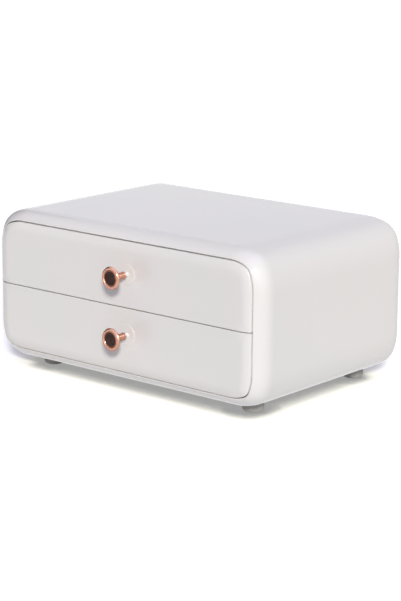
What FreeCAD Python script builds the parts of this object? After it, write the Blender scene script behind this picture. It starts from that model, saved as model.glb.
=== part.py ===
import FreeCAD, Part
import math
import os

# Two-drawer makeup organizer, in millimetres.
# +X is to the right, the drawers open towards -Y, and +Z is up.
# The origin is on the surface it stands on, under the middle of its overall box.

# Casing
casing_width = 300.0
casing_depth = 207.0
casing_height = 132.5
casing_wall = 2.6
# Each long corner is a tight arc that eases into a wide arc at both ends.
# The tight arcs are a little wider than the rounding of the front and rear edges.
edge_rounding = 19.0
corner_wide_radius = 50.0
corner_wide_angle = 20.0
corner_extra_top = 3.0
corner_extra_bottom = 1.0

# Feet
foot_height = 10.8
foot_radius = 9.2
foot_bevel = 2.7
foot_side_setback = 36.0
front_foot_setback = 39.5
rear_foot_setback = 27.5

# Front opening, drawer fronts and the gap lines between them
opening_inset = 9.0
gap = 0.8
split_rise = 0.25
opening_lip_wall = 2.2
opening_lip_depth = 17.0
front_wall = 2.8
front_depth = 16.0
back_plate_thickness = 2.2
plate_clearance = 0.25
front_rib_places = (-96.0, -48.0, 48.0, 96.0)
front_rib_thickness = 1.6
knob_boss_radius = 5.4

# Tabs of the bezel inside the casing shell
tab_places = (-84.0, -28.0, 28.0, 84.0)
tab_width = 20.0
tab_thickness = 1.8
tab_length = 5.0
tab_clearance = 0.1

# Guides and middle shelf
guide_wall = 2.8
guide_opening_clearance = 0.2
guide_rear_space = 22.0
guide_flange_thickness = 2.4
stop_clearance = 0.3
seat_clearance = 0.3
guide_rib_thickness = 1.8
guide_rib_height = 4.0
guide_rib_clearance = 0.25
ledge_reach = 3.8
ledge_thickness = 2.0
shelf_thickness = 2.4
shelf_ledge_thickness = 1.8
shelf_nose_height = 4.0
shelf_nose_depth = 3.0
shelf_rib_count = 7
shelf_rib_width = 1.8
shelf_rib_height = 1.8

# Trays
tray_wall = 2.0
tray_floor = 2.0
tray_inner_bevel = 3.0
tray_front_wall = 1.0
tray_draft = 2.0
tray_corner_radius = 13.0
tray_bevel = 4.0
tray_rear_space = 17.0
tray_rim_thickness = 2.0
tray_rear_rim_reach = 2.5
rim_side_clearance = 0.4
rim_top_clearance = 0.4
ledge_side_clearance = 0.8
lower_tray_inset = 11.5
lower_tray_headroom = 8.3
tray_above_shelf = 1.1
travel = 140.0
stop_tab_width = 4.0
stop_tab_height = 2.4
stop_tab_thickness = 3.0
stop_lug_reach = 6.7

# Knobs
knob_offset = 9.2
upper_knob_rise = 0.6
lower_knob_rise = 5.25
knob_reach = 21.0
knob_radius = 9.65
knob_edge_bevel = 1.6
knob_edge_width = 1.0
knob_flare_length = 5.8
knob_neck_radius = 2.75
knob_lip_width = 1.1
inlay_radius = 5.8
inlay_thickness = 1.2
inlay_setback = 0.35
rosette_radius = 10.2
rosette_edge = 0.8
rosette_height = 4.0

# Screws that hold the knobs, the drawer fronts and the trays together
screw_radius = 2.0
screw_head_radius = 4.0
screw_head_height = 2.4
screw_in_neck = 9.0
screw_clearance = 0.2
screw_tip_space = 1.0

# Places worked out from the sizes above
corner_tight_top = edge_rounding + corner_extra_top
corner_tight_bottom = edge_rounding + corner_extra_bottom
casing_front = (knob_reach - casing_depth) / 2
casing_rear = casing_front + casing_depth
casing_bottom = foot_height
casing_top = casing_bottom + casing_height
casing_middle = casing_bottom + casing_height / 2
seam = casing_front + edge_rounding
split = casing_middle + split_rise
panel_inset = opening_inset + gap
front_rear_face = casing_front + front_depth
back_plate_front = front_rear_face - back_plate_thickness
guide_outer = casing_width / 2 - opening_inset - guide_opening_clearance
guide_inner = guide_outer - guide_wall
guide_front = front_rear_face + stop_clearance
guide_rear = casing_rear - guide_rear_space
ledge_tip = guide_inner - ledge_reach
tray_rear = casing_rear - tray_rear_space
tray_half_width = ledge_tip - ledge_side_clearance
rim_half_width = guide_inner - rim_side_clearance
stop_tab_outer = tray_half_width - tray_wall
shelf_bottom = split - shelf_thickness / 2
shelf_top = shelf_bottom + shelf_thickness
lower_tray_bottom = casing_bottom + lower_tray_inset
upper_tray_bottom = shelf_top + tray_above_shelf
tray_height = shelf_bottom - lower_tray_headroom - lower_tray_bottom


def vec(x, y, z):
    return FreeCAD.Vector(x, y, z)


def block(x0, x1, y0, y1, z0, z1):
    """A box between two opposite corners."""
    return Part.makeBox(x1 - x0, y1 - y0, z1 - z0, vec(x0, y0, z0))


def beside(side, x0, x1, y0, y1, z0, z1):
    """A box whose x values are distances from the middle plane, to the left (-1) or right (+1)."""
    return block(min(side * x0, side * x1), max(side * x0, side * x1), y0, y1, z0, z1)


def rod(x, z, radius, y0, y1):
    """A cylinder that runs front to back."""
    return Part.makeCylinder(radius, y1 - y0, vec(x, y0, z), vec(0, 1, 0))


def post(x, y, radius, z0, z1):
    """An upright cylinder."""
    return Part.makeCylinder(radius, z1 - z0, vec(x, y, z0), vec(0, 0, 1))


def fuse(first, others):
    return first.fuse(others).removeSplitter() if others else first


def corner_reach(tight):
    """How far along each side a long corner begins."""
    lean = math.radians(corner_wide_angle)
    return corner_wide_radius - (corner_wide_radius - tight) * (math.cos(lean) - math.sin(lean))


def corner_edges(side_x, side_z, tight, inset):
    """The three arcs of one long corner in the plane y = 0, drawn in by inset."""
    lean = math.radians(corner_wide_angle)
    half_turn = math.pi / 2
    spread = corner_wide_radius - tight
    reach = corner_reach(tight)
    lower = (casing_width / 2 - corner_wide_radius, casing_height / 2 - reach)
    middle = (lower[0] + spread * math.cos(lean), lower[1] + spread * math.sin(lean))
    upper = (casing_width / 2 - reach, casing_height / 2 - corner_wide_radius)
    spans = (
        (lower, corner_wide_radius - inset, 0.0, lean),
        (middle, tight - inset, lean, half_turn - lean),
        (upper, corner_wide_radius - inset, half_turn - lean, half_turn),
    )
    edges = []
    for centre, radius, start, end in spans:
        points = []
        for angle in (start, (start + end) / 2, end):
            x = side_x * (centre[0] + radius * math.cos(angle))
            z = casing_middle + side_z * (centre[1] + radius * math.sin(angle))
            points.append(vec(x, 0, z))
        edges.append(Part.Arc(*points).toShape())
    return edges


def outline(inset):
    """The casing's cross-section in the plane y = 0, drawn in by inset, as a closed wire."""
    edges = []
    half_x = casing_width / 2
    half_z = casing_height / 2
    for side_z, tight in ((1, corner_tight_top), (-1, corner_tight_bottom)):
        for side_x in (1, -1):
            edges += corner_edges(side_x, side_z, tight, inset)
        flat = half_x - corner_reach(tight)
        z = casing_middle + side_z * (half_z - inset)
        edges.append(Part.LineSegment(vec(-flat, 0, z), vec(flat, 0, z)).toShape())
    for side_x in (1, -1):
        x = side_x * (half_x - inset)
        low = casing_bottom + corner_reach(corner_tight_bottom)
        high = casing_top - corner_reach(corner_tight_top)
        edges.append(Part.LineSegment(vec(x, 0, low), vec(x, 0, high)).toShape())
    return Part.Wire(Part.__sortEdges__(edges))


def prism(inset, y0, y1):
    """The casing's cross-section, drawn in by inset, from y0 back to y1."""
    face = Part.Face(outline(inset))
    face.translate(vec(0, y0, 0))
    return face.extrude(vec(0, y1 - y0, 0))


def ring(outer_inset, inner_inset, y0, y1):
    """The band between two insets of the cross-section."""
    return prism(outer_inset, y0, y1).cut(prism(inner_inset, y0 - 1, y1 + 1))


def pillow(inset):
    """The whole rounded form of the casing, drawn in by inset on every side."""
    front = casing_front + inset
    rear = casing_rear - inset
    body = prism(inset, front, rear)
    rolled = []
    for edge in body.Edges:
        box = edge.BoundBox
        at_end = abs(box.YMin - front) < 0.01 or abs(box.YMax - rear) < 0.01
        if at_end and box.YLength < 0.01:
            rolled.append(edge)
    return body.makeFillet(edge_rounding - inset, rolled)


def foot_places():
    """Name, x and y of each foot."""
    x = casing_width / 2 - foot_side_setback
    rows = (("front", casing_front + front_foot_setback), ("rear", casing_rear - rear_foot_setback))
    for row, y in rows:
        yield row + "_left", -x, y
        yield row + "_right", x, y


def casing_shell(skin):
    """Box-shaped moulding: sides, top, bottom and the rounded rear, open at the front."""
    shell = skin.common(prism(-1, seam, casing_rear + 1))
    ribs = ring(casing_wall / 2, casing_wall + guide_rib_height, guide_front + edge_rounding, guide_rear)
    slot_inner = guide_inner - guide_rib_clearance
    slot_outer = guide_outer + guide_rib_clearance
    additions = []
    for side in (-1, 1):
        for x0, x1 in ((slot_inner - guide_rib_thickness, slot_inner), (slot_outer, slot_outer + guide_rib_thickness)):
            for z0, z1 in ((casing_bottom, split - casing_height / 4), (split + casing_height / 4, casing_top)):
                span = beside(side, x0, x1, casing_front, casing_rear, z0, z1)
                additions.append(ribs.common(span))
    return fuse(shell, additions)


def front_bezel(skin, body):
    """Rounded rim round the drawers, with a lip that turns back into the opening and tabs for the shell."""
    rim = skin.common(prism(-1, casing_front - 1, seam))
    rim = rim.cut(prism(opening_inset, casing_front - 1, seam + 1))
    lip = ring(opening_inset - opening_lip_wall, opening_inset, casing_front, casing_front + opening_lip_depth)
    lip = lip.common(body)
    inner = casing_wall + tab_clearance
    additions = [lip]
    for x in tab_places:
        x0 = x - tab_width / 2
        x1 = x + tab_width / 2
        for z0 in (casing_bottom + inner, casing_top - inner - tab_thickness):
            additions.append(block(x0, x1, seam - tab_length, seam + tab_length, z0, z0 + tab_thickness))
    return fuse(rim, additions)


def guide(side, trays):
    """Inner side wall with ledges, keepers and stops for both trays and seats for the shelf."""
    full = (casing_bottom, casing_top)
    wall = beside(side, guide_inner, guide_outer, guide_front, guide_rear, *full)
    flange_y = casing_front + opening_lip_depth + seat_clearance
    flange = beside(side, guide_inner, casing_width / 2, flange_y, flange_y + guide_flange_thickness, *full)
    behind_lip = prism(casing_wall + seat_clearance, flange_y, casing_rear)
    within_lip = prism(opening_inset + guide_opening_clearance, casing_front, flange_y)
    body = fuse(wall, [flange]).common(fuse(behind_lip, [within_lip]))
    ledge_front = flange_y + guide_flange_thickness
    additions = []
    for tray_bottom in trays:
        rim_top = tray_bottom + tray_height
        rim_bottom = rim_top - tray_rim_thickness
        ledge_top = rim_bottom - seat_clearance
        keeper_bottom = rim_top + rim_top_clearance
        keeper_top = keeper_bottom + ledge_thickness
        for z0, z1 in ((ledge_top - ledge_thickness, ledge_top), (keeper_bottom, keeper_top)):
            additions.append(beside(side, ledge_tip, guide_outer, ledge_front, guide_rear, z0, z1))
        lug_rear = tray_rear - stop_tab_thickness - travel - stop_clearance
        lug_front = lug_rear - stop_tab_thickness
        lug_tip = ledge_tip - stop_lug_reach
        additions.append(beside(side, lug_tip, guide_outer, lug_front, lug_rear, keeper_bottom, keeper_top))
    for z0, z1 in (
        (shelf_bottom - shelf_ledge_thickness, shelf_bottom),
        (shelf_top + seat_clearance, shelf_top + seat_clearance + shelf_ledge_thickness),
    ):
        additions.append(beside(side, ledge_tip, guide_outer, ledge_front, guide_rear, z0, z1))
    return fuse(body, additions)


def middle_shelf():
    """Shelf between the trays, with a thicker front nose and ribs underneath."""
    half_width = guide_inner - seat_clearance
    plate = block(-half_width, half_width, guide_front, guide_rear, shelf_bottom, shelf_top)
    nose_low = split - shelf_nose_height / 2
    nose = block(
        -half_width, half_width, guide_front, guide_front + shelf_nose_depth, nose_low, nose_low + shelf_nose_height
    )
    ribs = [nose]
    rib_span = 2 * (ledge_tip - tray_corner_radius)
    for index in range(shelf_rib_count):
        middle = -rib_span / 2 + rib_span * index / (shelf_rib_count - 1)
        ribs.append(
            block(
                middle - shelf_rib_width / 2,
                middle + shelf_rib_width / 2,
                guide_front,
                guide_rear,
                shelf_bottom - shelf_rib_height,
                shelf_bottom,
            )
        )
    return fuse(plate, ribs)


def foot(x, y):
    """Round rubber foot, glued on, with a bevelled lower edge."""
    body = post(x, y, foot_radius, foot_bevel, foot_height)
    bevel = Part.makeCone(foot_radius - foot_bevel, foot_radius, foot_bevel, vec(x, y, 0), vec(0, 0, 1))
    return fuse(body, [bevel])


def turned(x, z, profile):
    """A solid turned about a front-to-back axis; profile holds corners of (radius, distance ahead)."""
    corners = [vec(x + r, casing_front - ahead, z) for r, ahead in profile]
    face = Part.Face(Part.makePolygon(corners + corners[:1]))
    return face.revolve(vec(x, casing_front, z), vec(0, 1, 0), 360)


def panel_form(shrink, low, high, rear):
    """What lies inside one drawer front's outline, drawn in by shrink on every side."""
    form = pillow(shrink).common(prism(panel_inset + shrink, casing_front - 1, rear))
    wide = casing_width
    return form.common(block(-wide, wide, casing_front - 1, rear, low + shrink, high - shrink))


def drawer_front(low, high, knob_z):
    """Hollow front moulding whose face rolls back with the casing's edge, with a boss and ribs inside."""
    shell = panel_form(0, low, high, front_rear_face)
    shell = shell.cut(panel_form(front_wall, low, high, front_rear_face + 1))
    inside = panel_form(front_wall / 2, low, high, back_plate_front)
    half = front_rib_thickness / 2
    supports = []
    for x in front_rib_places:
        supports.append(inside.common(block(x - half, x + half, casing_front, back_plate_front, low, high)))
    supports.append(rod(knob_offset, knob_z, knob_boss_radius, casing_front + front_wall / 2, back_plate_front))
    hole = rod(knob_offset, knob_z, screw_radius + screw_clearance, casing_front - 1, front_rear_face)
    return fuse(shell, supports).cut(hole)


def rounded_rectangle(half_width, y0, y1, radius, z):
    """A rectangle with round corners at height z, as a closed wire."""
    turn = radius * (1 - math.sqrt(0.5))
    edges = []
    corners = ((half_width, y1, 1, 1), (-half_width, y1, -1, 1), (-half_width, y0, -1, -1), (half_width, y0, 1, -1))
    for x, y, side_x, side_y in corners:
        edges.append(
            Part.Arc(
                vec(x, y - side_y * radius, z),
                vec(x - side_x * turn, y - side_y * turn, z),
                vec(x - side_x * radius, y, z),
            ).toShape()
        )
    inner_x = half_width - radius
    for y in (y0, y1):
        edges.append(Part.LineSegment(vec(-inner_x, y, z), vec(inner_x, y, z)).toShape())
    for x in (-half_width, half_width):
        edges.append(Part.LineSegment(vec(x, y0 + radius, z), vec(x, y1 - radius, z)).toShape())
    return Part.Wire(Part.__sortEdges__(edges))


def tub_form(shrink, front, z0, z1, bevel):
    """Tub whose walls lean out towards the top, drawn in by shrink, with a bevelled bottom edge."""
    taper = math.tan(math.radians(tray_draft))
    wires = []
    radius = tray_corner_radius - shrink
    for z, cut in ((z0, bevel), (z0 + bevel, 0), (z1, 0)):
        inward = shrink + (z1 - z) * taper + cut
        wires.append(rounded_rectangle(tray_half_width - inward, front + cut, tray_rear - inward, radius, z))
    return Part.makeLoft(wires, True, True)


def drawer_tray(low, high, tray_bottom, knob_z):
    """Open tub with a rim that runs on the guides, and a plate that closes the back of the front."""
    top = tray_bottom + tray_height
    plate = panel_form(front_wall + plate_clearance, low, high, front_rear_face)
    plate = plate.common(block(-casing_width, casing_width, back_plate_front, front_rear_face, low, high))
    outer = tub_form(0, front_rear_face, tray_bottom, top, tray_bevel)
    wall_rear = front_rear_face + tray_front_wall
    inner = tub_form(tray_wall, wall_rear, tray_bottom + tray_floor, top + 1, tray_inner_bevel)
    rim_wire = rounded_rectangle(
        rim_half_width,
        front_rear_face,
        tray_rear + tray_rear_rim_reach,
        tray_corner_radius,
        top - tray_rim_thickness,
    )
    rim = Part.Face(rim_wire).extrude(vec(0, 0, tray_rim_thickness))
    tabs = []
    for side in (-1, 1):
        tabs.append(
            beside(
                side,
                stop_tab_outer - stop_tab_width,
                stop_tab_outer,
                tray_rear - stop_tab_thickness,
                tray_rear,
                top - tray_rim_thickness,
                top + stop_tab_height,
            )
        )
    body = fuse(outer, [plate, rim])
    body = body.cut(inner)
    body = fuse(body, tabs)
    hole = rod(knob_offset, knob_z, screw_radius + screw_clearance, casing_front, wall_rear + 1)
    return body.cut(hole)


def knob(z):
    """Turned metal pull: a recess for the inlay, a bevelled rim, and a back that tapers into the neck."""
    pocket = knob_reach - inlay_setback - inlay_thickness
    lip_in = inlay_radius + screw_clearance
    lip_out = lip_in + knob_lip_width
    edge_front = knob_reach - knob_edge_bevel
    edge_back = edge_front - knob_edge_width
    flare_end = edge_back - knob_flare_length
    profile = (
        (0, pocket),
        (lip_in, pocket),
        (lip_in, knob_reach),
        (lip_out, knob_reach),
        (knob_radius, edge_front),
        (knob_radius, edge_back),
        (knob_neck_radius, flare_end),
        (knob_neck_radius, rosette_height),
        (0, rosette_height),
    )
    solid = turned(knob_offset, z, profile)
    bore_end = casing_front - rosette_height - screw_in_neck - screw_tip_space
    return solid.cut(rod(knob_offset, z, screw_radius + screw_clearance / 2, bore_end, casing_front))


def knob_inlay(z):
    """Round disc set into the knob's face."""
    face = casing_front - knob_reach + inlay_setback
    return rod(knob_offset, z, inlay_radius, face, face + inlay_thickness)


def knob_rosette(z):
    """Flared round base between the knob's neck and the drawer front."""
    hole = screw_radius + screw_clearance
    profile = (
        (hole, 0),
        (rosette_radius, 0),
        (rosette_radius, rosette_edge),
        (knob_neck_radius, rosette_height),
        (hole, rosette_height),
    )
    return turned(knob_offset, z, profile)


def knob_screw(z):
    """Screw from inside the tray, through the drawer front and the rosette, into the knob's neck."""
    seat = front_rear_face + tray_front_wall
    tip = casing_front - rosette_height - screw_in_neck
    shank = rod(knob_offset, z, screw_radius, tip, seat)
    head = rod(knob_offset, z, screw_head_radius, seat, seat + screw_head_height)
    return fuse(head, [shank])


def export(name, shape):
    shape.exportStep("parts/" + name + ".step")
    print(name, "solids", len(shape.Solids), "valid", shape.isValid(), "volume", round(shape.Volume, 1))


os.makedirs("parts", exist_ok=True)

outer_form = pillow(0)
casing_skin = outer_form.cut(pillow(casing_wall))
export("casing_shell", casing_shell(casing_skin))
export("front_bezel", front_bezel(casing_skin, outer_form))

tray_bottoms = (lower_tray_bottom, upper_tray_bottom)
export("left_guide", guide(-1, tray_bottoms))
export("right_guide", guide(1, tray_bottoms))
export("middle_shelf", middle_shelf())

for place, foot_x, foot_y in foot_places():
    export("foot_" + place, foot(foot_x, foot_y))

drawers = (
    ("lower", casing_bottom + panel_inset, split - gap / 2, lower_tray_bottom, lower_knob_rise),
    ("upper", split + gap / 2, casing_top - panel_inset, upper_tray_bottom, upper_knob_rise),
)
for level, panel_low, panel_high, bottom_z, knob_rise in drawers:
    pull_z = (panel_low + panel_high) / 2 + knob_rise
    export(level + "_drawer_front", drawer_front(panel_low, panel_high, pull_z))
    export(level + "_drawer_tray", drawer_tray(panel_low, panel_high, bottom_z, pull_z))
    export(level + "_knob", knob(pull_z))
    export(level + "_knob_inlay", knob_inlay(pull_z))
    export(level + "_knob_rosette", knob_rosette(pull_z))
    export(level + "_knob_screw", knob_screw(pull_z))
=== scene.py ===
# %% [markdown]
# # A two-drawer makeup organizer in white plastic
# The real object is a low box moulded in glossy, pearly white plastic. Its front edge rolls inwards all
# round, and the two drawer fronts carry the same roll on, so that the closed box looks like one pillow
# cut by three thin gap lines. Each drawer has a rose-gold knob with a dark brown inlay, and the box
# stands on four grey rubber feet.
#
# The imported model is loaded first, as a fixed frame. Every size below is read from it, so each surface
# made here lies exactly where the solid it stands for lies.

import math

import bpy
import numpy as np
from mathutils import Matrix, Vector


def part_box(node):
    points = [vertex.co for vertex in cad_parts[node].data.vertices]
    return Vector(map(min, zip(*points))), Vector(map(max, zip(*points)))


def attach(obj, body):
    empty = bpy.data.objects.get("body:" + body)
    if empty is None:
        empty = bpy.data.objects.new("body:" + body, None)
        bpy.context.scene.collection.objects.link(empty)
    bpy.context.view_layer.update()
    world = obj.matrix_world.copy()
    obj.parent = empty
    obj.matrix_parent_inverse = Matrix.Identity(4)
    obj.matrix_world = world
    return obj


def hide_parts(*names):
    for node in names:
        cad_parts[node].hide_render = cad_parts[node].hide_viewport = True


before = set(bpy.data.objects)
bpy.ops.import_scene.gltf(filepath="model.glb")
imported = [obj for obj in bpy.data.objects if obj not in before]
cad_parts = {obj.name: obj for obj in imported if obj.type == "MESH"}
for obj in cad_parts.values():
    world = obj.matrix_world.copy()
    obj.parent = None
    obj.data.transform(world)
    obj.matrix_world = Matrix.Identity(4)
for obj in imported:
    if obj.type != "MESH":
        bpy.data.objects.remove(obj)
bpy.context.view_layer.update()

# %% [markdown]
# ## Sizes
# The casing, a drawer front, a knob and a foot give all the main measures. Lengths are in metres. +X is
# to the right, the drawers open towards -Y, and +Z is up.

# %% Read the main sizes from the frame
shell_low, shell_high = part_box("casing_shell")
lower_front_low, lower_front_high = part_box("lower_drawer_front")
upper_front_low, upper_front_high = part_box("upper_drawer_front")
half_width = shell_high[0]
casing_bottom = shell_low[2]
casing_top = shell_high[2]
casing_middle = (casing_bottom + casing_top) / 2
half_height = (casing_top - casing_bottom) / 2
front = upper_front_low[1]
rear = shell_high[1]
seam = shell_low[1]
edge_rounding = seam - front
print("casing", 2 * half_width, rear - front, 2 * half_height, "rounding", round(edge_rounding, 4))

# %% [markdown]
# ## Camera
# The photograph was taken with a long lens, from the right and a little above. The place, the turn and
# the lens below were worked out from the box's outlines, and the camera has no shift.

# %% Place the camera
camera_place = Vector((1.079238, -1.271944, 0.463811))
camera_azimuth = math.radians(40.011)
camera_elevation = math.radians(13.4135)
camera_roll = math.radians(0.434)
camera_lens = 117.43

backward = Vector(
    (
        math.sin(camera_azimuth) * math.cos(camera_elevation),
        -math.cos(camera_azimuth) * math.cos(camera_elevation),
        math.sin(camera_elevation),
    )
)
level_right = (-backward).cross(Vector((0, 0, 1))).normalized()
level_up = level_right.cross(-backward)
rolled_right = level_right * math.cos(camera_roll) + level_up * math.sin(camera_roll)
rolled_up = level_up * math.cos(camera_roll) - level_right * math.sin(camera_roll)
turn = Matrix((rolled_right, rolled_up, backward)).transposed().to_4x4()

lens = bpy.data.cameras.new("camera")
lens.lens = camera_lens
lens.sensor_width = 36.0
lens.sensor_fit = "AUTO"
lens.clip_end = 50.0
camera = bpy.data.objects.new("camera", lens)
camera.matrix_world = Matrix.Translation(camera_place) @ turn
bpy.context.scene.collection.objects.link(camera)
bpy.context.scene.camera = camera
print("camera at", tuple(round(value, 3) for value in camera_place))

# %% [markdown]
# ## From a grid of points to a piece
# Every new piece is a grid of points: rows follow a profile, and columns go once round an outline. The
# helper below turns such grids into one closed mesh. A flat end is closed by a single face, and the
# signed volume tells whether the faces point outwards.

# %% Helpers that turn grids into pieces
sharp_angle = math.radians(32)


def grid_faces(grid, start, closed_rows, cap_first, cap_last):
    """Faces between neighbouring points of a grid whose columns go all the way round."""
    rows, columns = grid.shape[:2]
    index = start + np.arange(rows * columns).reshape(rows, columns)
    if closed_rows:
        index = np.vstack((index, index[:1]))
    index = np.hstack((index, index[:, :1]))
    corners = (index[:-1, :-1], index[:-1, 1:], index[1:, 1:], index[1:, :-1])
    faces = np.stack(corners, axis=-1).reshape(-1, 4).tolist()
    if cap_first:
        faces.append(index[0, :-1][::-1].tolist())
    if cap_last:
        faces.append(index[rows - 1, :-1].tolist())
    return faces


def outward(mesh):
    """Turns all faces round if the signed volume that they enclose is negative."""
    corners = np.empty(len(mesh.vertices) * 3)
    mesh.vertices.foreach_get("co", corners)
    corners = corners.reshape(-1, 3)
    mesh.calc_loop_triangles()
    triangles = np.empty(len(mesh.loop_triangles) * 3, dtype=np.int32)
    mesh.loop_triangles.foreach_get("vertices", triangles)
    a, b, c = (corners[triangles.reshape(-1, 3)[:, side]] for side in range(3))
    volume = np.einsum("ij,ij->i", a, np.cross(b, c)).sum() / 6
    if volume < 0:
        mesh.flip_normals()
    return abs(volume)


def make_piece(name, grids, body, nodes, material, radius=None):
    """One object from several grids, each given with its ends: "loop", "caps" or "open"."""
    points = []
    faces = []
    start = 0
    for grid, ends in grids:
        faces += grid_faces(grid, start, ends == "loop", ends == "caps", ends == "caps")
        points.append(grid.reshape(-1, 3))
        start += grid.shape[0] * grid.shape[1]
    mesh = bpy.data.meshes.new(name)
    mesh.from_pydata(np.concatenate(points), [], faces)
    mesh.validate()
    volume = outward(mesh)
    mesh.shade_smooth()
    mesh.set_sharp_from_angle(angle=sharp_angle)
    mesh.materials.append(material)
    if radius is not None:
        mesh.attributes.new("radius", "FLOAT", "POINT").data.foreach_set("value", radius.astype(np.float32))
    piece = bpy.data.objects.new(name, mesh)
    bpy.context.scene.collection.objects.link(piece)
    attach(piece, body)
    if nodes:
        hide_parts(*nodes)
    print(name, "faces", len(faces), "volume in cubic cm", round(volume * 1e6, 2))
    return piece


# %% [markdown]
# ## Shader maths
# The finishes are built from nodes. A small class lets an output of a node be added, multiplied or
# blended with ordinary signs, which keeps each finish short enough to read.


# %% Helpers for shader nodes
class Wire:
    """One output of a shader node, which can be used like a number."""

    def __init__(self, tree, output):
        self.tree = tree
        self.output = output

    def node(self, kind, inputs, output=0, **settings):
        """Adds any shader node, sets it up, and feeds its inputs with wires or constants."""
        added = self.tree.nodes.new("ShaderNode" + kind)
        for name, value in settings.items():
            setattr(added, name, value)
        for name, value in inputs.items():
            if isinstance(value, Wire):
                self.tree.links.new(value.output, added.inputs[name])
            else:
                added.inputs[name].default_value = value
        return Wire(self.tree, added.outputs[output])

    def maths(self, operation, first, second):
        return self.node("Math", {0: first, 1: second}, operation=operation)

    def __add__(self, other):
        return self.maths("ADD", self, other)

    def __radd__(self, other):
        return self.maths("ADD", other, self)

    def __sub__(self, other):
        return self.maths("SUBTRACT", self, other)

    def __rsub__(self, other):
        return self.maths("SUBTRACT", other, self)

    def __mul__(self, other):
        return self.maths("MULTIPLY", self, other)

    def __rmul__(self, other):
        return self.maths("MULTIPLY", other, self)

    def step(self, low, high):
        """0 below low, 1 above high, and a smooth rise between them."""
        inputs = {"Value": self, "From Min": low, "From Max": high}
        return self.node("MapRange", inputs, interpolation_type="SMOOTHSTEP")

    def blend(self, first, second):
        """A colour that goes from first to second as this wire goes from 0 to 1."""
        inputs = {0: self, 6: first, 7: second}
        return self.node("Mix", inputs, output=2, data_type="RGBA")

    def noise(self, scale, detail=3.0, roughness=0.5):
        """Cloudy noise read at this place, with about scale clouds to the metre."""
        inputs = {"Vector": self, "Scale": scale, "Detail": detail, "Roughness": roughness}
        return self.node("TexNoise", inputs)


def new_finish(name):
    """An empty finish: the material, its Principled shader, and a wire with the place on the object."""
    material = bpy.data.materials.new(name)
    material.use_nodes = True
    shader = material.node_tree.nodes["Principled BSDF"]
    places = material.node_tree.nodes.new("ShaderNodeTexCoord")
    return material, shader, Wire(material.node_tree, places.outputs["Object"])


def feed(shader, **inputs):
    """Sets or links the shader's inputs, whose names are given with _ for a space."""
    for name, value in inputs.items():
        socket = shader.inputs[name.replace("_", " ")]
        if isinstance(value, Wire):
            value.tree.links.new(value.output, socket)
        else:
            socket.default_value = value


def relief(place, height, distance, strength=1.0):
    """A normal that follows a height, where height 1 stands for distance."""
    inputs = {"Height": height, "Distance": distance, "Strength": strength}
    return place.node("Bump", inputs)


# %% [markdown]
# ## White plastic
# The casing and the drawer fronts are high-gloss mouldings with a faint pearly cast. A moulded gloss is
# never a perfect mirror: it has a very slight orange peel, and faint clouds in its colour and shine.


# %% Gloss white plastic
def gloss_white():
    material, shader, place = new_finish("pearly white plastic")
    clouds = place.noise(9.0)
    specks = place.noise(420.0, detail=2.0)
    grazing = place.node("LayerWeight", {"Blend": 0.5}, output="Facing").step(0.8, 0.96)
    warm = (0.760, 0.738, 0.698, 1.0)
    cool = (0.747, 0.732, 0.702, 1.0)
    feed(
        shader,
        Base_Color=clouds.step(0.35, 0.65).blend(warm, cool),
        Roughness=0.2 + specks * 0.05 + clouds * 0.04 - grazing * 0.16,
        IOR=1.46,
        Coat_Weight=0.5 + grazing * 0.5,
        Coat_Roughness=0.11,
        Normal=relief(place, place.noise(260.0, detail=1.0), 0.00002),
    )
    return material


gloss_plastic = gloss_white()
print("finish:", gloss_plastic.name)

# %% [markdown]
# ## The casing's cross-section
# Seen from the front, each corner of the casing is a tight arc that eases into a wide arc on both sides,
# which is softer than a plain quarter circle. The outline below has these three arcs at each corner, with
# a normal at each point. A curve further in is the same outline moved along its normals.

# %% Outline of the casing
wide_radius = 0.050
wide_angle = 20.0
tight_radius_top = edge_rounding + 0.003
tight_radius_bottom = edge_rounding + 0.001
wide_steps = 9
tight_steps = 20
flat_steps = 12


def corner_centres(tight):
    """Centres of the wide, tight and wide arc of the upper right corner, from the casing's middle."""
    lean = math.radians(wide_angle)
    spread = wide_radius - tight
    reach = wide_radius - spread * (math.cos(lean) - math.sin(lean))
    lower = np.array((half_width - wide_radius, half_height - reach))
    middle = lower + spread * np.array((math.cos(lean), math.sin(lean)))
    upper = np.array((half_width - reach, half_height - wide_radius))
    return lower, middle, upper


def arc(centre, radius, start, end, steps):
    """Points centre + radius * (cos a, sin a) with their normals, for a from start to end in degrees."""
    angle = np.radians(np.linspace(start, end, steps + 1))
    normals = np.stack((np.cos(angle), np.sin(angle)), axis=1)
    return centre + radius * normals, normals


def corner(tight):
    """Points and normals round the upper right corner, from its side to its top."""
    lower, middle, upper = corner_centres(tight)
    arcs = (
        arc(lower, wide_radius, 0, wide_angle, wide_steps),
        arc(middle, tight, wide_angle, 90 - wide_angle, tight_steps),
        arc(upper, wide_radius, 90 - wide_angle, 90, wide_steps),
    )
    points = np.concatenate([arcs[0][0][:-1], arcs[1][0][:-1], arcs[2][0]])
    normals = np.concatenate([arcs[0][1][:-1], arcs[1][1][:-1], arcs[2][1]])
    return points, normals


def with_flats(points, normals):
    """Adds points along the straight stretch from each corner's end to the next corner's start."""
    ring_points = []
    ring_normals = []
    share = np.linspace(0, 1, flat_steps + 1)[1:-1, None]
    for index in range(4):
        here = points[index]
        after = points[(index + 1) % 4]
        ring_points += [here, here[-1] + share * (after[0] - here[-1])]
        ring_normals += [normals[index], np.repeat(normals[index][-1:], flat_steps - 1, axis=0)]
    return np.concatenate(ring_points), np.concatenate(ring_normals)


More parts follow.
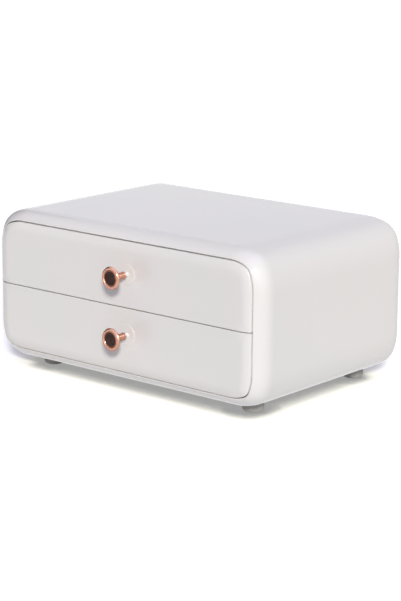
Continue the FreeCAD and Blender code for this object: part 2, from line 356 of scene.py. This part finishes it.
def casing_outline():
    """The whole cross-section, anticlockwise as seen from the front, from the middle of the casing."""
    top = corner(tight_radius_top)
    low = corner(tight_radius_bottom)
    quarters = ((top, (1, 1), 1), (top, (-1, 1), -1), (low, (-1, -1), 1), (low, (1, -1), -1))
    points = [part[0][::way] * np.array(flip) for part, flip, way in quarters]
    normals = [part[1][::way] * np.array(flip) for part, flip, way in quarters]
    return with_flats(points, normals)


outline_points, outline_normals = casing_outline()
print("outline points:", len(outline_points))

# %% [markdown]
# ## Profiles carried round the outline
# The casing is one profile carried round that outline. A profile is a list of (inset, depth) pairs: how
# far in from the outline a point lies, and how far back. Round stretches are arcs about a centre that
# lies inside the rounded edge.


# %% Carry a profile round the outline
def turn_arc(inset, depth, radius, start, end, steps):
    """Arc of (inset, depth) about a centre: 0 degrees points out of the casing, 90 to the front."""
    angle = np.radians(np.linspace(start, end, steps + 1))
    return np.stack((inset - radius * np.cos(angle), depth - radius * np.sin(angle)), axis=1)


def line(first, last, steps=1):
    """Evenly spaced (inset, depth) pairs from first to last."""
    share = np.linspace(0, 1, steps + 1)[:, None]
    return np.array(first) + share * (np.array(last) - np.array(first))


def join(*parts):
    """Stretches of a profile in one list, without the doubled points where they meet."""
    profile = np.concatenate(parts)
    moved = np.linalg.norm(np.diff(profile, axis=0), axis=1) > 1e-7
    return profile[np.concatenate(([True], moved))]


def carry(profile):
    """Point (row, column) is the outline's point moved in along its normal, at the profile's depth."""
    flat = outline_points[None, :, :] - profile[:, 0, None, None] * outline_normals[None, :, :]
    depth = np.broadcast_to(profile[:, 1, None], flat.shape[:2])
    return np.stack((flat[..., 0], depth, flat[..., 1] + casing_middle), axis=-1)


# %% [markdown]
# ## Casing shell
# The shell is a five-sided box with a wall 2.6 mm thick and a rounded rear. Its outer surface, its front
# rim and its inner surface are one closed profile.

# %% Casing shell
casing_wall = 0.0026
rounding_steps = 22
rear_centre = rear - edge_rounding
inner_rounding = edge_rounding - casing_wall

shell_profile = join(
    turn_arc(edge_rounding, rear_centre, edge_rounding, -90, 0, rounding_steps),
    line((0, rear_centre), (0, seam), 14),
    line((0, seam), (casing_wall, seam)),
    line((casing_wall, seam), (casing_wall, rear_centre), 6),
    turn_arc(edge_rounding, rear_centre, inner_rounding, 0, -90, 12),
)
make_piece(
    "casing_shell_moulding",
    [(carry(shell_profile), "caps")],
    "casing",
    ["casing_shell"],
    gloss_plastic,
)

# %% [markdown]
# ## Front bezel
# The bezel rolls over the front edge and turns back into the opening as a lip. Where the roll meets the
# lip the mould leaves a small radius, which catches a thin line of light beside each gap.

# %% Front bezel
front_gap = upper_front_low[2] - lower_front_high[2]
panel_inset = half_width - upper_front_high[0]
opening_inset = panel_inset - front_gap
lip_wall = 0.0022
lip_depth = 0.017
lip_end = front + lip_depth
mould_radius = 0.00045
front_centre = front + edge_rounding


def roll_meets(inset, radius):
    """Angle on an arc of that radius, about the roll's centre, where it has the given inset."""
    return math.degrees(math.acos((edge_rounding - inset) / radius))


pocket_angle = roll_meets(opening_inset - mould_radius, edge_rounding - mould_radius)
pocket_centre = front_centre - (edge_rounding - mould_radius) * math.sin(math.radians(pocket_angle))
lip_outer = opening_inset - lip_wall
lip_angle = roll_meets(lip_outer, inner_rounding)
lip_front = front_centre - inner_rounding * math.sin(math.radians(lip_angle))

bezel_profile = join(
    turn_arc(edge_rounding, front_centre, edge_rounding, 0, pocket_angle, 16),
    turn_arc(opening_inset - mould_radius, pocket_centre, mould_radius, pocket_angle, 180, 6),
    line((opening_inset, pocket_centre), (opening_inset, lip_end), 3),
    line((opening_inset, lip_end), (lip_outer, lip_end)),
    line((lip_outer, lip_end), (lip_outer, lip_front)),
    turn_arc(edge_rounding, front_centre, inner_rounding, lip_angle, 0, 8),
)
make_piece(
    "front_bezel_moulding",
    [(carry(bezel_profile), "loop")],
    "casing",
    ["front_bezel"],
    gloss_plastic,
)

# %% [markdown]
# ## Drawer fronts
# A drawer front has the casing's outline on three sides and a straight edge at the split. Its face is a
# height field: at each point, the distance to the casing's outline says how far the roll has gone back.
# That distance is worked out as whole arrays, from the nearest side and the three arcs of a corner.


# %% Distance to the outline and height of the roll
def outline_distance(x, z):
    """Distance in from the outline: R minus the distance to an arc's centre, or to the nearest side."""
    x = np.abs(x)
    height = z - casing_middle
    distance = np.minimum(half_width - x, half_height - np.abs(height))
    for above, tight in ((True, tight_radius_top), (False, tight_radius_bottom)):
        here = (height >= 0) == above
        spans = zip(
            corner_centres(tight),
            (wide_radius, tight, wide_radius),
            (0.0, wide_angle, 90 - wide_angle),
            (wide_angle, 90 - wide_angle, 90.0),
        )
        for centre, radius, start, end in spans:
            across = x - centre[0]
            up = np.abs(height) - centre[1]
            angle = np.degrees(np.arctan2(up, across))
            inside = here & (angle >= start) & (angle <= end) & (across >= 0) & (up >= 0)
            distance = np.where(inside, radius - np.hypot(across, up), distance)
    return distance


def roll_depth(x, z):
    """Depth of the rolled face, front + R - sqrt(R^2 - (R - d)^2), at distance d from the outline."""
    short = np.clip(edge_rounding - outline_distance(x, z), 0, edge_rounding)
    return front + edge_rounding - np.sqrt(edge_rounding**2 - short**2)


roll_at_panel = float(roll_depth(np.array(half_width - panel_inset), casing_middle)) - front
print("roll at the drawer front's side edge:", round(roll_at_panel, 5))

# %% [markdown]
# The front's edge line is the outline drawn in by 9.8 mm, cut off at the split, where two small round
# corners lead into the straight edge. Rings inside it get their depth from the height field, and the
# outermost ones drop by a small mould radius. The rear is hollow as far as the plate of the tray.

# %% Drawer fronts
split_corner = 0.0009
split_steps = 40
front_wall = 0.0028
front_rear = upper_front_high[1]
plate_thickness = 0.0022
side_return = 0.003
face_band = 0.010
face_rings = 14


def front_edge(low, high):
    """Closed edge line of a drawer front in x and z, with inward normals, for one of the two fronts."""
    points = outline_points - panel_inset * outline_normals
    heights = points[:, 1] + casing_middle
    upper = (low + high) / 2 > casing_middle
    keep = heights > low + split_corner if upper else heights < high - split_corner
    first = np.flatnonzero(keep & ~np.roll(keep, 1))[0]
    rolled = np.roll(keep, -first)
    path = np.roll(np.stack((points[:, 0], heights), axis=1), -first, axis=0)[rolled]
    inward = -np.roll(outline_normals, -first, axis=0)[rolled]
    split = low if upper else high
    way = 1 if upper else -1
    corner_x = half_width - panel_inset - split_corner
    corner_z = split + way * split_corner
    ends = []
    for side, start, end in ((-1, 180, 270), (1, 270, 360)):
        turned = (start, end) if upper else (start - 180, end - 180)
        ends.append(arc(np.array((side * way * corner_x, corner_z)), split_corner, *turned, 5))
    share = np.linspace(0, 1, split_steps + 1)[1:-1, None]
    straight = ends[0][0][-1] + share * (ends[1][0][0] - ends[0][0][-1])
    edge = np.concatenate([path, ends[0][0], straight, ends[1][0]])
    normals = np.concatenate([inward, -ends[0][1], np.tile((0.0, way), (len(share), 1)), -ends[1][1]])
    return edge, normals


def shrunk(edge, low, high, amount):
    """The edge line scaled about the front's middle, so that each side comes in by amount."""
    middle = np.array((0.0, (low + high) / 2))
    half = np.array((half_width - panel_inset, (high - low) / 2))
    return middle + (edge - middle) * (half - amount) / half


def at_depth(flat, depth):
    """A row of points in x and z, placed at one depth or at a depth of its own for each point."""
    return np.stack((flat[:, 0], np.broadcast_to(depth, flat.shape[:1]), flat[:, 1]), axis=1)


def front_grid(low, high):
    """Rings from the face's flat middle over its edge, back along the side, and into the hollow rear."""
    edge, normals = front_edge(low, high)
    rings = []
    settled = edge + mould_radius * normals
    for share in np.linspace(1, 0, face_rings + 1)[:-1]:
        flat = settled + share * (shrunk(settled, low, high, face_band) - settled)
        rings.append(at_depth(flat, roll_depth(flat[:, 0], flat[:, 1])))
    for angle in np.radians(np.linspace(90, 0, 6)):
        inset = mould_radius * (1 - math.cos(angle))
        flat = edge + inset * normals
        drop = mould_radius * (1 - math.sin(angle))
        rings.append(at_depth(flat, roll_depth(flat[:, 0], flat[:, 1]) + drop))
    inner = shrunk(edge, low, high, front_wall)
    for ring, depth in (
        (edge, front_rear - side_return),
        (edge, front_rear),
        (inner, front_rear),
        (inner, front_rear - plate_thickness),
    ):
        rings.append(at_depth(ring, depth))
    return np.array(rings)


front_boxes = {"lower": (lower_front_low, lower_front_high), "upper": (upper_front_low, upper_front_high)}
for level, (low, high) in front_boxes.items():
    make_piece(
        level + "_drawer_front_moulding",
        [(front_grid(low[2], high[2]), "caps")],
        level + "_drawer",
        [level + "_drawer_front"],
        gloss_plastic,
    )

# %% [markdown]
# ## Turned pieces
# Knobs, inlays, rosettes, screws and feet are turned on a lathe or moulded round, so each is a profile of
# (radius, distance along the axis) that goes once round its axis.


# %% Turn a profile about an axis
def turned(profile, centre, axis, columns=72):
    """Point (row, column) is centre + axis * distance + radius * (cos a, sin a) across the axis."""
    angle = np.linspace(0, 2 * math.pi, columns, endpoint=False)
    axis = np.asarray(axis, dtype=float)
    across = np.array((0.0, 0.0, 1.0)) if abs(axis[2]) < 0.5 else np.array((0.0, 1.0, 0.0))
    other = np.cross(axis, across)
    ring = np.cos(angle)[:, None] * across + np.sin(angle)[:, None] * other
    radius = np.maximum(profile[:, 0], 1e-6)
    along = profile[:, 1, None] * axis
    return np.asarray(centre) + along[:, None, :] + radius[:, None, None] * ring[None, :, :]


def profile_arc(radius, ahead, size, start, end, steps):
    """Arc of (radius, distance): 0 degrees points away from the axis, 90 along it."""
    angle = np.radians(np.linspace(start, end, steps + 1))
    return np.stack((radius + size * np.cos(angle), ahead + size * np.sin(angle)), axis=1)


# %% [markdown]
# ## Metal, inlay, rubber and steel
# The knob is polished metal with a rose-gold plating, so its colour lives in its reflections. A narrow
# groove runs round its face. Down in it the plating's colour carries painted shade, dark brown in place of
# the dark reflections there, and the slope that leads out of it is satin. The turned mesh carries each
# point's radius, which tells the shader where that is. The inlay is a satin brown disc, the feet are matt
# rubber, and the screws are bright zinc.

# %% Finishes of the small pieces
groove_radius = 0.00675


def rose_gold():
    material, shader, place = new_finish("rose gold plating")
    clouds = place.noise(160.0)
    radius = place.node("Attribute", {}, output="Fac", attribute_name="radius") + clouds * 0.0002
    past_lip = radius.step(groove_radius - 0.0004, groove_radius - 0.0001)
    groove = past_lip * (1.0 - radius.step(groove_radius, groove_radius + 0.0005))
    satin_slope = past_lip * (1.0 - radius.step(groove_radius + 0.0006, groove_radius + 0.0011))
    plated = clouds.step(0.3, 0.7).blend((0.72, 0.395, 0.295, 1.0), (0.63, 0.335, 0.245, 1.0))
    # Painted shade: the groove is coloured dark brown, in place of the shade and dark reflections down in
    # it.
    painted_groove_shade = (0.26, 0.11, 0.08, 1.0)
    feed(
        shader,
        Base_Color=groove.blend(plated, painted_groove_shade),
        Metallic=1.0,
        Specular_Tint=(0.50, 0.30, 0.24, 1.0),
        Roughness=0.16 + clouds * 0.06 + satin_slope * 0.22,
        Normal=relief(place, place.noise(1400.0), 0.000004),
    )
    return material


def brown_inlay():
    material, shader, place = new_finish("dark brown inlay")
    clouds = place.noise(260.0)
    feed(
        shader,
        Base_Color=clouds.step(0.3, 0.7).blend((0.030, 0.013, 0.010, 1.0), (0.058, 0.028, 0.021, 1.0)),
        Roughness=0.38 + clouds * 0.1,
        Specular_IOR_Level=0.15,
        Normal=relief(place, place.noise(2200.0), 0.000006),
    )
    return material


def grey_rubber():
    material, shader, place = new_finish("grey rubber")
    grain = place.noise(1500.0, detail=4.0)
    clouds = place.noise(90.0)
    feed(
        shader,
        Base_Color=clouds.step(0.3, 0.7).blend((0.36, 0.355, 0.34, 1.0), (0.40, 0.395, 0.38, 1.0)),
        Roughness=0.62 + grain * 0.16,
        Normal=relief(place, grain, 0.00006),
    )
    return material


def zinc_steel():
    material, shader, place = new_finish("zinc-plated steel")
    clouds = place.noise(500.0)
    feed(
        shader,
        Base_Color=clouds.step(0.3, 0.7).blend((0.66, 0.66, 0.64, 1.0), (0.74, 0.74, 0.73, 1.0)),
        Metallic=1.0,
        Roughness=0.28 + clouds * 0.1,
        Normal=relief(place, clouds, 0.00001),
    )
    return material


gold = rose_gold()
inlay_brown = brown_inlay()
rubber = grey_rubber()
steel = zinc_steel()
print("finishes:", gold.name, inlay_brown.name, rubber.name, steel.name)

# %% [markdown]
# ## Knobs
# From the front backwards: a narrow lip round the inlay, a groove, a crest and a rounded shoulder out to
# the widest rim, a hollow sweep in to the neck, and the neck down to the white rosette. Groove, crest and
# shoulder are two quarters of ovals. The sweep follows a power curve, which is steep at the rim and runs
# out straight along the neck. The rosette is a slim hub on a flat disc that almost melts into the drawer
# front, and it shows mostly by the glint on its edge.

# %% Knobs, inlays, rosettes and screws
knob_columns = 96
screw_columns = 48
recess_depth = 0.0016
inlay_radius = 0.0060
inlay_setback = 0.00035
inlay_round = 0.0002
lip_inner = 0.0061
lip_radius = 0.00022
lip_setback = 0.0003
groove_floor = 0.0001
groove_depth = 0.0009
crest_radius = 0.00775
shoulder_depth = 0.0019
rim_radius = 0.0005
rim_turn = -62
neck_start = 0.0092
neck_radius = 0.00275
neck_fillet = 0.0004
sweep_power = 2.3
disc_share = 0.88
screw_head_height = 0.0024
screw_shank_radius = 0.002
screw_tip = 0.0008


def power_sweep(first, last, power, steps):
    """From first to last, (radius, distance) pairs, with the radius falling as (1 - share) to a power."""
    share = np.linspace(0, 1, steps + 1)
    radius = last[0] + (first[0] - last[0]) * (1 - share) ** power
    return np.stack((radius, first[1] + (last[1] - first[1]) * share), axis=1)


def oval_arc(centre, across, along, start, end, steps):
    """Like profile_arc, about a centre (radius, distance), with its own size across and along the axis."""
    angle = np.radians(np.linspace(start, end, steps + 1))
    return np.stack((centre[0] + across * np.cos(angle), centre[1] + along * np.sin(angle)), axis=1)


def knob_profile(reach, widest, foot):
    """The knob from its recess, over lip, groove, crest and shoulder, along the sweep and the neck."""
    recess = reach - recess_depth
    groove = reach - groove_depth
    shoulder_end = reach - shoulder_depth
    lip_middle = (lip_inner + lip_radius, reach - lip_setback - lip_radius)
    rim = profile_arc(widest - rim_radius, shoulder_end, rim_radius, 0, rim_turn, 8)
    neck = (neck_radius, reach - neck_start)
    flare = neck_radius + neck_fillet
    return join(
        line((0, recess), (lip_inner, recess), 2),
        line((lip_inner, recess), (lip_inner, lip_middle[1])),
        profile_arc(*lip_middle, lip_radius, 180, 10, 10),
        line((groove_radius - groove_floor, groove), (groove_radius, groove)),
        oval_arc((crest_radius, groove), crest_radius - groove_radius, groove_depth, 170, 90, 12),
        oval_arc((crest_radius, shoulder_end), widest - crest_radius, shoulder_depth, 90, 0, 18),
        rim,
        power_sweep(rim[-1], neck, sweep_power, 18),
        line(neck, (neck_radius, foot + neck_fillet), 3),
        profile_arc(flare, foot + neck_fillet, neck_fillet, 180, 270, 4),
        line((flare, foot), (0, foot)),
    )


def inlay_profile(reach):
    """A disc with a hardly domed face, lower by dome * share^2, and a small round edge."""
    face = reach - inlay_setback
    back = reach - recess_depth + 0.00005
    dome = 0.00012
    share = np.linspace(0, 1, 9)
    flat_radius = inlay_radius - inlay_round
    side_front = face - dome - inlay_round
    return join(
        np.stack((flat_radius * share, face - dome * share**2), axis=1),
        profile_arc(flat_radius, side_front, inlay_round, 90, 0, 4),
        line((inlay_radius, side_front), (inlay_radius, back)),
        line((inlay_radius, back), (0, back)),
    )


def rosette_profile(radius, height):
    """From the neck a slim hub, a small fillet at its foot, and a flat disc with a thin round edge."""
    hub = 0.0021
    fillet = 0.0009
    edge = 0.00018
    return join(
        line((0, height), (hub, height)),
        line((hub, height), (hub, 2 * edge + fillet), 4),
        profile_arc(hub + fillet, 2 * edge + fillet, fillet, 180, 270, 8),
        line((hub + fillet, 2 * edge), (radius - edge, 2 * edge), 6),
        profile_arc(radius - edge, edge, edge, 90, -90, 8),
        line((radius - edge, 0), (0, 0)),
    )


def screw_profile(head, head_height, shank, reach):
    """A pan head with a round shoulder, then the shank up to its blunt tip."""
    shoulder = 0.0011
    return join(
        line((0, -head_height), (head - shoulder, -head_height), 3),
        profile_arc(head - shoulder, -head_height + shoulder, shoulder, -90, 0, 8),
        line((head, -head_height + shoulder), (head, 0)),
        line((head, 0), (shank, 0)),
        line((shank, 0), (shank, reach - screw_tip), 2),
        line((shank, reach - screw_tip), (shank - screw_tip, reach)),
        line((shank - screw_tip, reach), (0, reach)),
    )


# %% [markdown]
# The boxes of the four solids on each drawer give the place, reach and width of its turned pieces. The
# screw starts behind the drawer front, at the seat of its head, and the other three start at the face.

# %% Place them on both drawers
ahead = (0.0, -1.0, 0.0)
for level in ("lower", "upper"):
    knob_low, knob_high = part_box(level + "_knob")
    rosette_low, rosette_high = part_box(level + "_knob_rosette")
    screw_low, screw_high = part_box(level + "_knob_screw")
    axis_x = (knob_low[0] + knob_high[0]) / 2
    axis_z = (knob_low[2] + knob_high[2]) / 2
    reach = front - knob_low[1]
    widest = (knob_high[0] - knob_low[0]) / 2
    rosette_height = rosette_high[1] - rosette_low[1]
    rosette_radius = disc_share * (rosette_high[0] - rosette_low[0]) / 2
    print(level, "knob reach", round(reach, 5), "rosette height", round(rosette_height, 5))
    seat = screw_high[1] - screw_head_height
    head = (screw_high[0] - screw_low[0]) / 2
    screw = screw_profile(head, screw_high[1] - seat, screw_shank_radius, seat - screw_low[1])
    rosette = rosette_profile(rosette_radius, rosette_height)
    for part, profile, start, columns, slot, finish in (
        ("knob", knob_profile(reach, widest, rosette_height), front, knob_columns, "rose_gold", gold),
        ("knob_inlay", inlay_profile(reach), front, knob_columns, "brown_inlay", inlay_brown),
        ("knob_rosette", rosette, front, knob_columns, "white_plastic", gloss_plastic),
        ("knob_screw", screw, seat, screw_columns, "plated_steel", steel),
    ):
        node = f"{level}_{part}"
        grid = turned(profile, (axis_x, start, axis_z), ahead, columns)
        radius = np.repeat(profile[:, 0], columns)
        make_piece(node + "_turned", [(grid, "caps")], level + "_drawer", [node], finish, radius)

# %% [markdown]
# ## Feet
# The feet are short rubber cylinders with a generous round at the floor.

# %% Feet
foot_round = 0.0037
for name in ("foot_front_left", "foot_front_right", "foot_rear_left", "foot_rear_right"):
    foot_low, foot_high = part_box(name)
    radius = (foot_high[0] - foot_low[0]) / 2
    height = foot_high[2] - foot_low[2]
    profile = join(
        line((0, 0), (radius - foot_round, 0), 2),
        profile_arc(radius - foot_round, foot_round, foot_round, -90, 0, 12),
        line((radius, foot_round), (radius, height), 3),
        line((radius, height), (0, height)),
    )
    middle = ((foot_low[0] + foot_high[0]) / 2, (foot_low[1] + foot_high[1]) / 2, foot_low[2])
    grid = turned(profile, middle, (0, 0, 1))
    make_piece(name + "_rubber", [(grid, "caps")], "casing", [name], rubber)

# %% [markdown]
# ## Satin plastic for the inner parts
# The trays are moulded in the same white, with a satin finish that hides scratches. The guides and the
# shelf inside the casing are duller still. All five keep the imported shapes, which have their walls, ribs
# and ledges already.


# %% Satin finishes
def satin_white(name, light, shade, shine):
    material, shader, place = new_finish(name)
    clouds = place.noise(7.0)
    grain = place.noise(900.0, detail=3.0)
    feed(
        shader,
        Base_Color=clouds.step(0.35, 0.65).blend(light, shade),
        Roughness=shine + grain * 0.12,
        IOR=1.46,
        Normal=relief(place, grain, 0.00003),
    )
    return material


tray_satin = satin_white("satin tray plastic", (0.80, 0.775, 0.77, 1.0), (0.785, 0.765, 0.765, 1.0), 0.34)
inner_satin = satin_white("dull inner plastic", (0.76, 0.74, 0.735, 1.0), (0.745, 0.73, 0.728, 1.0), 0.46)

carried_over = {
    "left_guide": inner_satin,
    "right_guide": inner_satin,
    "middle_shelf": inner_satin,
    "lower_drawer_tray": tray_satin,
    "upper_drawer_tray": tray_satin,
}
for name, finish in carried_over.items():
    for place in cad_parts[name].material_slots:
        place.link = "OBJECT"
        place.material = finish
    print(name, "has", finish.name)

# %% [markdown]
# ## Floor, background and light
# The photograph has a white ground that only darkens under the box. The floor is a plain pale sheet. For
# rays that come straight from the camera it is brighter than paper, so that it is white wherever it is
# lit. Where the box hangs close over it a painted shadow takes over: an even grey glow, mixed in by
# ambient occlusion. Glossy surfaces see floor and background white.

# %% Floor and world
floor_half = 12.0
floor_corners = [(x * floor_half, y * floor_half, 0) for x, y in ((-1, -1), (1, -1), (1, 1), (-1, 1))]
floor_mesh = bpy.data.meshes.new("floor")
floor_mesh.from_pydata(floor_corners, [], [(0, 1, 2, 3)])
floor = bpy.data.objects.new("floor", floor_mesh)
bpy.context.scene.collection.objects.link(floor)


def seen_directly(tree):
    """Two wires: 1 for rays from the camera, and 1 for rays from a glossy bounce or a transmission."""
    paths = tree.nodes.new("ShaderNodeLightPath").outputs
    mirrored = Wire(tree, paths["Is Glossy Ray"]) + Wire(tree, paths["Is Transmission Ray"])
    return Wire(tree, paths["Is Camera Ray"]), mirrored.node("Clamp", {"Value": mirrored})


def floor_finish():
    material = bpy.data.materials.new("pale floor")
    material.use_nodes = True
    tree = material.node_tree
    tree.nodes.remove(tree.nodes["Principled BSDF"])
    seen, mirrored = seen_directly(tree)
    shade = seen.blend((0.74, 0.73, 0.72, 1.0), (1.4, 1.4, 1.29, 1.0))
    paper = seen.node("BsdfDiffuse", {"Color": shade})
    glow = seen.node("Emission", {"Strength": seen * open_glow})
    lit = seen.node("AddShader", {0: paper, 1: glow})
    # Painted shadow: a fixed grey glow that replaces the lit floor where ambient occlusion finds the box
    # close above.
    shadow = seen.node("Emission", {"Strength": painted_shadow_level})
    openness = seen.node("AmbientOcclusion", {"Distance": open_distance}, output="AO", samples=16)
    painted_shadow_mask = seen * (1.0 - openness.step(0.3, 0.47))
    ground = seen.node("MixShader", {0: painted_shadow_mask, 1: lit, 2: shadow})
    white = seen.node("Emission", {"Strength": 1.0})
    both = seen.node("MixShader", {0: mirrored, 1: ground, 2: white})
    tree.links.new(both.output, tree.nodes["Material Output"].inputs["Surface"])
    return material


open_distance = 0.02
open_glow = 0.14
# Strength of the painted shadow's grey glow.
painted_shadow_level = 0.35
floor_mesh.materials.append(floor_finish())

sky_level = 0.14
world = bpy.data.worlds.new("soft studio")
world.use_nodes = True
bpy.context.scene.world = world
backdrop = world.node_tree.nodes["Background"]
backdrop.inputs["Color"].default_value = (1.0, 1.0, 1.0, 1.0)
seen, mirrored = seen_directly(world.node_tree)
sky = sky_level + (seen + mirrored) * (1.0 - sky_level)
world.node_tree.links.new(sky.output, backdrop.inputs["Strength"])
print("floor and world ready")

# %% [markdown]
# Polished metal needs something dark to mirror. A dark sheet far to the left is there for mirrored rays
# only: it throws no shadow, and the camera doesn't see it. It ends where the casing's top and upper edge
# would begin to mirror it.

# %% Sheet that only shows in reflections
sheet_place = -1.3
sheet_front = -0.9
sheet_rear = 0.7
sheet_foot = 0.02
sheet_top = 1.3
sheet_level = 0.06


def reflected_sheet(name, level):
    """An upright sheet left of the box that shines at the given level, in reflections only."""
    corners = [
        (sheet_place, y, z)
        for y, z in (
            (sheet_front, sheet_foot),
            (sheet_rear, sheet_foot),
            (sheet_rear, sheet_top),
            (sheet_front, sheet_top),
        )
    ]
    # Painted reflection: a faint glow, seen only in reflections, that gives the metal something dark to
    # mirror.
    sheet_glow = bpy.data.materials.new(name)
    sheet_glow.use_nodes = True
    shader = sheet_glow.node_tree.nodes["Principled BSDF"]
    feed(shader, Base_Color=(0.0, 0.0, 0.0, 1.0), Specular_IOR_Level=0.0, Emission_Strength=level)
    feed(shader, Emission_Color=(1.0, 0.98, 1.0, 1.0))
    mesh = bpy.data.meshes.new(name)
    mesh.from_pydata(corners, [], [(0, 1, 2, 3)])
    mesh.materials.append(sheet_glow)
    sheet = bpy.data.objects.new(name, mesh)
    bpy.context.scene.collection.objects.link(sheet)
    sheet.visible_camera = False
    sheet.visible_diffuse = False
    sheet.visible_shadow = False
    sheet.visible_transmission = False


reflected_sheet("dark sheet on the left", sheet_level)
print("sheet for reflections ready")

# %% [markdown]
# The knobs' shadows tell where the main light stands: a little to the right of the camera, 26 degrees
# above the floor, and fairly small. A wide light from the right lifts the side and the upright edge, and
# a wide, cool light from above lifts the top.

# %% Lights
key_azimuth = math.radians(42.5)
key_elevation = math.radians(25.5)


def sun(name, azimuth, elevation, strength, width, colour):
    """A lamp that shines evenly from one direction, with a soft edge as wide as the given angle."""
    lamp = bpy.data.lights.new(name, "SUN")
    lamp.energy = strength
    lamp.angle = math.radians(width)
    lamp.color = colour
    lamp_object = bpy.data.objects.new(name, lamp)
    towards = Vector(
        (
            math.sin(azimuth) * math.cos(elevation),
            -math.cos(azimuth) * math.cos(elevation),
            math.sin(elevation),
        )
    )
    lamp_object.rotation_euler = towards.to_track_quat("Z", "Y").to_euler()
    bpy.context.scene.collection.objects.link(lamp_object)
    print(name, "strength", strength, "width", width)


sun("key light", key_azimuth, key_elevation, 2.54, 9.0, (1.0, 0.99, 0.965))
sun("side light", math.radians(70), math.radians(8), 0.6, 60.0, (0.98, 1.0, 0.93))
sun("top light", key_azimuth, math.radians(82), 0.8, 70.0, (0.53, 0.51, 1.0))
bpy.context.scene.view_settings.view_transform = "Standard"
